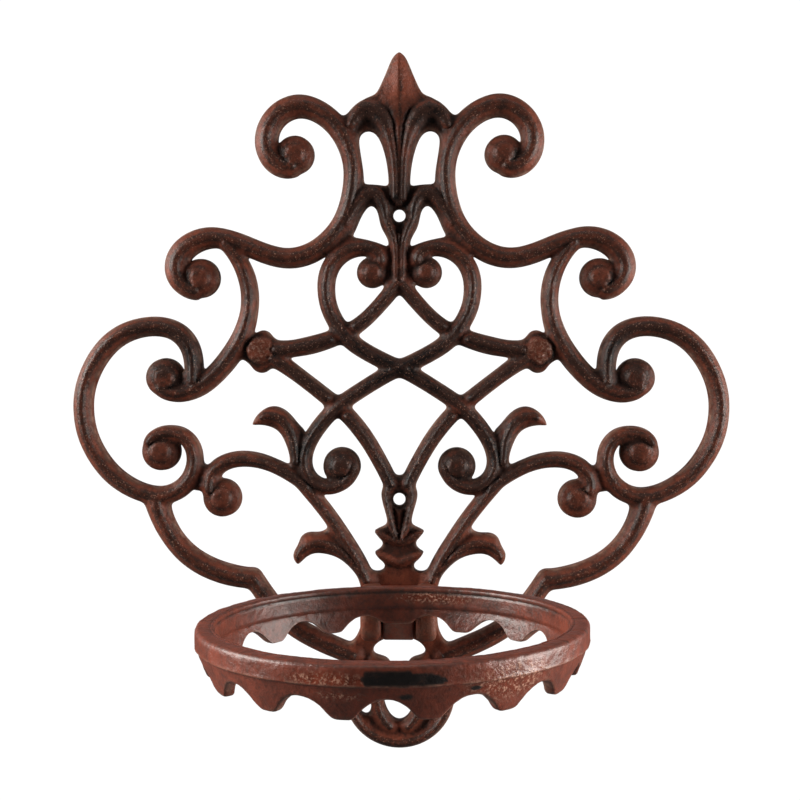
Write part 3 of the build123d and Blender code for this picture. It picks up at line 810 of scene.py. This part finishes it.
def make_ring():
    """The ring's band and scalloped skirt as one closed skin."""
    angle = np.linspace(0, 2 * pi, RING_STEPS, endpoint=False)
    rows = ring_rows(skirt_foot(angle))
    drop = np.column_stack([np.broadcast_to(down, RING_STEPS) for _, down in rows])
    radius = np.column_stack([np.broadcast_to(out, RING_STEPS) for out, _ in rows])
    points = np.stack([radius * np.cos(angle)[:, None], radius * np.sin(angle)[:, None], -drop], axis=-1)
    shades = ring_shades(angle, points, drop)
    cut = seam_cut(angle, drop)
    # painted shade in the mould seams
    shades["hollow"] = shades["hollow"] + np.clip(cut / SEAM_DEPTH, 0, 1)
    flat = points.reshape(-1, 3)
    rough = 0.11 * ripple(flat, 9, 21) + 0.05 * ripple(flat, 2.6, 22)
    flat = flat + grid_normals(points) * (rough - 0.1 - cut.ravel())[:, None]
    flat[:, 2] += ROLL * flat[:, 0]
    shades = {key: values.ravel() for key, values in shades.items()}
    return flat + (0, RING_Y, RING_TOP), grid_faces(RING_STEPS, len(rows)), shades


# ---------------- hinge

LUG_INNER = 7.5
LUG_OUTER = 16.9
LUG_R = 4.7
LUG_FOOT = 19.7
LUG_ROUND = 2.8
LUG_HEEL = (14.6, -13.7)   # centre of the lug's rounded front lower corner
LUG_HEEL_R = 6.0
KNUCKLE_HALF = 6.9
TONGUE_ROUND = 1.1
SLAB_SOFT = (6, 0.4, 0.3)
SLAB_STEP = 1.1
PIN_R = 2.5
PIN_OUT = -PIN.y
HOLE_POINTS = 48
HINGE_SHADES = {"relief": 0.12, "wear_and_rim_light": 0.25, "hollow": 0, "soot_and_shade": 0.35, "gloss_and_glint": 0}


def arc(centre, radius, start, end, count):
    """Points along an arc, angles in degrees."""
    turns = [radians(start + (end - start) * k / count) for k in range(count + 1)]
    return [(centre[0] + radius * cos(turn), centre[1] + radius * sin(turn)) for turn in turns]


def lug_profile():
    """Side view of a lug, out from the wall and up from the pin."""
    return ([(3.0, LUG_R), (PIN_OUT, LUG_R)] + arc((PIN_OUT, 0), LUG_R, 90, 0, 8)[1:] + [(20.6, -14.1)]
            + arc(LUG_HEEL, LUG_HEEL_R, -4, -92, 8)[1:] + [(3.0, -LUG_FOOT)])


def tongue_profile():
    """Side view of the ring's knuckle, with the heel that stops it against the plate."""
    return ([(26.0, LUG_R), (PIN_OUT, LUG_R)] + arc((PIN_OUT, 0), LUG_R, 90, 190, 9)[1:]
            + [(5.4, -14.7), (5.4, -18.7), (PIN_OUT + 1.4, -18.7), (PIN_OUT + 3.6, -6.7), (26.0, -LUG_R)])


def slab_rings(line, left, right, rounding):
    """The slab's profile at each x over its two rounded edges."""
    turns = [radians(a) for a in (90, 60, 30, 0)]
    rings = []
    for side, x in ((-1, left), (1, right)):
        for turn in turns if side < 0 else turns[::-1]:
            inset = line + inward(line) * rounding * (1 - cos(turn))
            rings.append((inset, x - side * rounding * (1 - sin(turn))))
    return rings


def slab_side(ring, hole, grid, first, count):
    """One flat side of a slab: its new points, its triangles, and the rim of the bore in it."""
    inner = grid[inside(grid, [ring])]
    inner = inner[np.linalg.norm(inner - (PIN_OUT, 0), axis=1) > PIN_R + 0.5]
    inner = thin_out(inner, FILL_GAP, ring)
    verts, found, bounds = triangulate(np.vstack([ring, hole, inner]), numbered([ring, hole]))
    lookup = np.full(len(verts), -1)
    lookup[bounds[0]] = first + np.arange(len(ring))
    others = np.where(lookup < 0)[0]
    lookup[others] = count + np.arange(len(others))
    return verts[others], lookup[found], lookup[bounds[1]]


def slab(profile, left, right, rounding, seed):
    """A plate with rounded edges and this side view, bored for the pin."""
    line = resample(np.array(profile), 0.6)
    if (line[:, 0] * np.roll(line[:, 1], -1) - line[:, 1] * np.roll(line[:, 0], -1)).sum() < 0:
        line = line[::-1]
    line = soften(line, *SLAB_SOFT)
    size = len(line)
    rings = slab_rings(line, left, right, rounding)
    points = [np.column_stack([np.full(size, x), -ring[:, 0], ring[:, 1]]) for ring, x in rings]
    ids, after = np.arange(size), np.roll(np.arange(size), -1)
    faces = []
    for low in range(0, (len(rings) - 1) * size, size):
        high = low + size
        faces += np.column_stack([low + ids, low + after, high + after, high + ids]).tolist()
    count = len(rings) * size
    hole = np.array(arc((PIN_OUT, 0), PIN_R, 360, 360 / HOLE_POINTS, HOLE_POINTS - 1))
    grid = hex_grid(line.min(0), line.max(0), SLAB_STEP, np.random.default_rng(seed))
    rims = []
    for (ring, x), first, order in ((rings[0], 0, 1), (rings[-1], count - size, -1)):
        new, found, rim = slab_side(ring, hole, grid, first, count)
        points.append(np.column_stack([np.full(len(new), x), -new[:, 0], new[:, 1]]))
        faces += found[:, ::order].tolist()
        rims.append(rim)
        count += len(new)
    a, b = rims
    faces += np.column_stack([a, np.roll(a, -1), np.roll(b, -1), b]).tolist()
    return np.vstack(points), faces


def hinge_block(profile, left, right, rounding, seed):
    """A lug or the knuckle, in place and a little uneven."""
    points, faces = slab(profile, left, right, rounding, seed)
    points = points + (0, 0, PIN.z)
    points[:, 1] -= 0.06 * ripple(points, 5, seed) + 0.03 * ripple(points, 2.2, seed + 1)
    shades = {key: np.full(len(points), float(level)) for key, level in HINGE_SHADES.items()}
    return points, faces, shades


def merge(*parts):
    """One mesh's points, faces and shades out of several."""
    points = np.vstack([part[0] for part in parts])
    faces, first = [], 0
    for part in parts:
        faces += [tuple(int(i) + first for i in face) for face in part[1]]
        first += len(part[0])
    shades = {key: np.concatenate([part[2][key] for part in parts]) for key in parts[0][2]}
    return points, faces, shades


# ---------------- meshes

SHARP = 50              # edges sharper than this many degrees stay sharp


def make_mesh(name, points, faces, shades):
    """A mesh object from points in millimetres, with its paint as attributes."""
    mesh = bpy.data.meshes.new(name)
    corners = [tuple(point) for point in points * MM]
    mesh.from_pydata(corners, [], [tuple(int(i) for i in face) for face in faces])
    for key, values in shades.items():
        layer = mesh.attributes.new(key, "FLOAT", "POINT")
        layer.data.foreach_set("value", np.asarray(values, np.float32))
    mesh.validate()
    mesh.shade_smooth()
    mesh.set_sharp_from_angle(angle=radians(SHARP))
    obj = bpy.data.objects.new(name, mesh)
    bpy.context.scene.collection.objects.link(obj)
    return obj


def make_piece(name, part, material, body, node):
    """A piece that rides on a body and takes the place of a CAD node."""
    obj = make_mesh(name, *part)
    obj.data.materials.append(material)
    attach(obj, body)
    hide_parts(node)


# ---------------- iron

RED = (0.215, 0.056, 0.031)
RING_RED = (0.222, 0.049, 0.026)
PIN_RED = (0.15, 0.055, 0.038)
DARK = (0.036, 0.0175, 0.0135)
PALE = (0.42, 0.23, 0.165)
NEAR_BLACK = (0.008, 0.006, 0.006)
# pale pink of the painted glints
PAINTED_GLINT = tuple(min(1, channel * 1.7) for channel in PALE)
BUMP_DEPTH = 0.5        # millimetres


class Graph:
    """A material's nodes, with short ways to add more."""

    def __init__(self, tree):
        self.nodes, self.links = tree.nodes, tree.links
        self.coords = self.nodes.new("ShaderNodeTexCoord").outputs["Object"]

    def plug(self, value, socket):
        """Set a socket to a number or a colour, or link it to another node's output."""
        if isinstance(value, tuple):
            socket.default_value = (*value, 1)
        elif isinstance(value, (int, float)):
            socket.default_value = value
        else:
            self.links.new(value, socket)

    def noise(self, size, detail=4, roughness=0.55):
        """A noise texture whose features are this many millimetres across."""
        node = self.nodes.new("ShaderNodeTexNoise")
        node.inputs["Scale"].default_value = 1 / (size * MM)
        node.inputs["Detail"].default_value = detail
        node.inputs["Roughness"].default_value = roughness
        self.links.new(self.coords, node.inputs["Vector"])
        return node.outputs["Fac"]

    def attribute(self, name):
        node = self.nodes.new("ShaderNodeAttribute")
        node.attribute_name = name
        return node.outputs["Fac"]

    def maths(self, kind, *values, clamp=False):
        node = self.nodes.new("ShaderNodeMath")
        node.operation = kind
        node.use_clamp = clamp
        for socket, value in zip(node.inputs, values):
            self.plug(value, socket)
        return node.outputs[0]

    def times(self, first, second):
        return self.maths("MULTIPLY", first, second)

    def plus(self, value, factor, base):
        """The value times the factor, added to the base."""
        return self.maths("MULTIPLY_ADD", value, factor, base)

    def stretch(self, value, low, high):
        """The value stretched so that low gives 0 and high gives 1."""
        return self.maths("MULTIPLY_ADD", value, 1 / (high - low), -low / (high - low), clamp=True)

    def mix(self, factor, first, second):
        node = self.nodes.new("ShaderNodeMix")
        node.data_type = "RGBA"
        self.plug(factor, node.inputs["Factor"])
        self.plug(first, node.inputs[6])
        self.plug(second, node.inputs[7])
        return node.outputs[2]


def iron_colour(graph, red, darkness, specks):
    """Red-brown wash, black patina in its raggedness with painted shade in the hollows and on parts of the ring,
    pale edges of worn paint and painted rim highlight, and painted glints.
    """
    relief, wear_and_rim_light, hollow, soot_and_shade, gloss_and_glint = (
        graph.attribute(key) for key in ("relief", "wear_and_rim_light", "hollow", "soot_and_shade", "gloss_and_glint"))
    blotch = graph.noise(4.0)
    wash = graph.stretch(graph.noise(16, 3), 0.3, 0.7)
    washed = graph.mix(wash, red, tuple(channel * 0.7 for channel in red))

    patina_and_shade = graph.plus(soot_and_shade, 0.75, graph.times(relief, darkness))
    # painted shade: the hollows darken the colour like the patina
    patina_and_shade = graph.plus(hollow, 0.75, patina_and_shade)
    patina_and_shade = graph.maths("ADD", patina_and_shade, graph.plus(blotch, 1.7, -0.85))
    patina_and_shade = graph.plus(specks, 1.4, graph.maths("SUBTRACT", patina_and_shade, 0.7))
    colour = graph.mix(graph.stretch(patina_and_shade, -0.15, 1.05), washed, DARK)
    colour = graph.mix(graph.stretch(patina_and_shade, 1.3, 1.7), colour, NEAR_BLACK)

    # pale edges: worn paint and a painted rim highlight
    edges = graph.times(wear_and_rim_light, graph.stretch(blotch, 0.35, 0.62))
    colour = graph.mix(graph.times(edges, 0.6), colour, PALE)
    # painted glints: pale pink flecks on the rubbed black and in the glossy patches
    painted_sparkle = graph.times(relief, graph.stretch(graph.noise(0.7, 2, 0.5), 0.62, 0.7))
    painted_glints = graph.times(gloss_and_glint, graph.stretch(specks, 0.5, 0.66))
    return graph.mix(graph.plus(painted_sparkle, 0.4, graph.times(painted_glints, 0.7)), colour, PAINTED_GLINT)


def iron_roughness(graph, roughness, grain):
    """Smoother where it is rubbed."""
    rough = graph.plus(grain, 0.3, roughness - 0.1)
    rough = graph.plus(graph.attribute("relief"), -0.12, rough)
    rough = graph.plus(graph.attribute("gloss_and_glint"), -0.15, rough)
    return graph.maths("MAXIMUM", rough, 0.2)


def iron_bump(graph, roughcast, grain):
    """Sand-cast grain, pits and scars."""
    height = graph.plus(grain, 0.6, graph.times(graph.noise(2.2, 3), 1.1))
    height = graph.plus(graph.noise(6.0, 2), 0.9, height)
    bump = graph.nodes.new("ShaderNodeBump")
    bump.inputs["Strength"].default_value = roughcast
    bump.inputs["Distance"].default_value = BUMP_DEPTH * MM
    graph.links.new(height, bump.inputs["Height"])
    return bump.outputs["Normal"]


def iron(name, red, roughness, specular, roughcast, darkness=1.0):
    """Painted cast iron: red-brown wash, black rubbed along the ridges, painted shade in the hollows, pale edges
    of worn paint and painted rim highlight, and painted glints.
    """
    material = bpy.data.materials.new(name)
    material.use_nodes = True
    graph = Graph(material.node_tree)
    shader = graph.nodes["Principled BSDF"]
    specks, grain = graph.noise(1.1, 3, 0.65), graph.noise(0.8, 3, 0.6)
    graph.links.new(iron_colour(graph, red, darkness, specks), shader.inputs["Base Color"])
    graph.links.new(iron_roughness(graph, roughness, grain), shader.inputs["Roughness"])
    graph.links.new(iron_bump(graph, roughcast, grain), shader.inputs["Normal"])
    shader.inputs["Specular IOR Level"].default_value = specular
    return material


# ---------------- stage, light and camera

STAGE_HALF = 6.0        # metres
FLOOR_GAP = 0.25
FLOOR_PALE = 0.12
BRIGHT = 1.05           # the background as the camera sees it
WORLD_FRONT = 0.03      # how bright the studio is in front of the wall, and behind it
WORLD_BACK = 0.22
WARM_WHITE = (1.0, 0.95, 0.9)
CAMERA_AT = (0.0163, -0.597, 0.0022)
CAMERA_DIP = 2.04       # degrees down
CAMERA_TURN = 1.54      # degrees to the left
CAMERA_LENS = 59.3


def floor_material():
    """White to the camera, but dim to the iron, so that it throws little light back."""
    material = bpy.data.materials.new("floor_white")
    material.use_nodes = True
    nodes, links = material.node_tree.nodes, material.node_tree.links
    shader = nodes["Principled BSDF"]
    shader.inputs["Base Color"].default_value = (FLOOR_PALE, FLOOR_PALE, FLOOR_PALE, 1)
    shader.inputs["Roughness"].default_value = 0.9
    shader.inputs["Specular IOR Level"].default_value = 0.0
    glow = nodes.new("ShaderNodeEmission")
    glow.inputs["Strength"].default_value = BRIGHT
    choose = nodes.new("ShaderNodeMixShader")
    links.new(nodes.new("ShaderNodeLightPath").outputs["Is Camera Ray"], choose.inputs[0])
    links.new(shader.outputs[0], choose.inputs[1])
    links.new(glow.outputs[0], choose.inputs[2])
    links.new(choose.outputs[0], nodes["Material Output"].inputs["Surface"])
    return material


def make_floor():
    mesh = bpy.data.meshes.new("floor")
    half, level = STAGE_HALF, cad_box[0][2] - FLOOR_GAP
    corners = [(-half, -half, level), (half, -half, level), (half, half, level), (-half, half, level)]
    mesh.from_pydata(corners, [], [(0, 1, 2, 3)])
    mesh.materials.append(floor_material())
    floor = bpy.data.objects.new("floor", mesh)
    bpy.context.scene.collection.objects.link(floor)


def make_world():
    """A white studio that lights the casting only softly, and less from the front."""
    world = bpy.data.worlds.new("studio")
    bpy.context.scene.world = world
    world.use_nodes = True
    nodes, links = world.node_tree.nodes, world.node_tree.links
    split = nodes.new("ShaderNodeSeparateXYZ")
    links.new(nodes.new("ShaderNodeTexCoord").outputs["Generated"], split.inputs[0])
    level = nodes.new("ShaderNodeMapRange")
    level.interpolation_type = "SMOOTHSTEP"
    limits = {"From Min": -0.9, "From Max": 0.1, "To Min": WORLD_FRONT, "To Max": WORLD_BACK}
    for key, value in limits.items():
        level.inputs[key].default_value = value
    links.new(split.outputs["Y"], level.inputs["Value"])
    strength = nodes.new("ShaderNodeMix")
    links.new(nodes.new("ShaderNodeLightPath").outputs["Is Camera Ray"], strength.inputs["Factor"])
    links.new(level.outputs["Result"], strength.inputs["A"])
    strength.inputs["B"].default_value = BRIGHT
    background = nodes["Background"]
    background.inputs["Color"].default_value = (1, 1, 1, 1)
    links.new(strength.outputs["Result"], background.inputs["Strength"])


def area_light(name, place, aim, size, power):
    light = bpy.data.lights.new(name, "AREA")
    light.shape = "DISK"
    light.size = size
    light.energy = power
    light.color = WARM_WHITE
    obj = bpy.data.objects.new(name, light)
    obj.location = place
    obj.rotation_euler = (Vector(aim) - Vector(place)).to_track_quat("-Z", "Y").to_euler()
    bpy.context.scene.collection.objects.link(obj)


def make_camera():
    camera = bpy.data.cameras.new("camera")
    camera.sensor_width = 36
    camera.lens = CAMERA_LENS
    camera.clip_start = 0.01
    obj = bpy.data.objects.new("camera", camera)
    obj.location = CAMERA_AT
    obj.rotation_euler = (radians(90 - CAMERA_DIP), 0, radians(CAMERA_TURN))
    bpy.context.scene.collection.objects.link(obj)
    bpy.context.scene.camera = obj


# ---------------- the bracket

left_lug = hinge_block(lug_profile(), -LUG_OUTER, -LUG_INNER, LUG_ROUND, 31)
right_lug = hinge_block(lug_profile(), LUG_INNER, LUG_OUTER, LUG_ROUND, 41)
tongue = hinge_block(tongue_profile(), -KNUCKLE_HALF, KNUCKLE_HALF, TONGUE_ROUND, 51)

plate_iron = iron("antique_brown_iron", RED, 0.4, 0.15, 0.6, 1.1)
ring_iron = iron("antique_brown_ring", RING_RED, 0.34, 0.5, 0.4, 0.9)
pin_iron = iron("browned_pin", PIN_RED, 0.38, 0.4, 0.4)

casting = merge(make_plate(), left_lug, right_lug)
make_piece("plate_casting", casting, plate_iron, "back_plate", "back_plate")
casting = merge(make_ring(), tongue)
make_piece("ring_casting", casting, ring_iron, "pot_ring", "pot_ring")

pin = frame["nodes"]["hinge_pin"]
pin.data.materials.clear()
pin.data.materials.append(pin_iron)

make_floor()
make_world()
area_light("softbox_left", (-0.95, -0.15, 0.25), (0, 0, -0.05), 0.7, 20)
area_light("softbox_right", (0.95, -0.15, 0.0), (0, 0, -0.05), 0.7, 17)
area_light("above", (0.0, -0.25, 1.1), (0, -0.05, 0), 0.5, 1.6)
make_camera()
bpy.context.scene.view_settings.view_transform = "Standard"
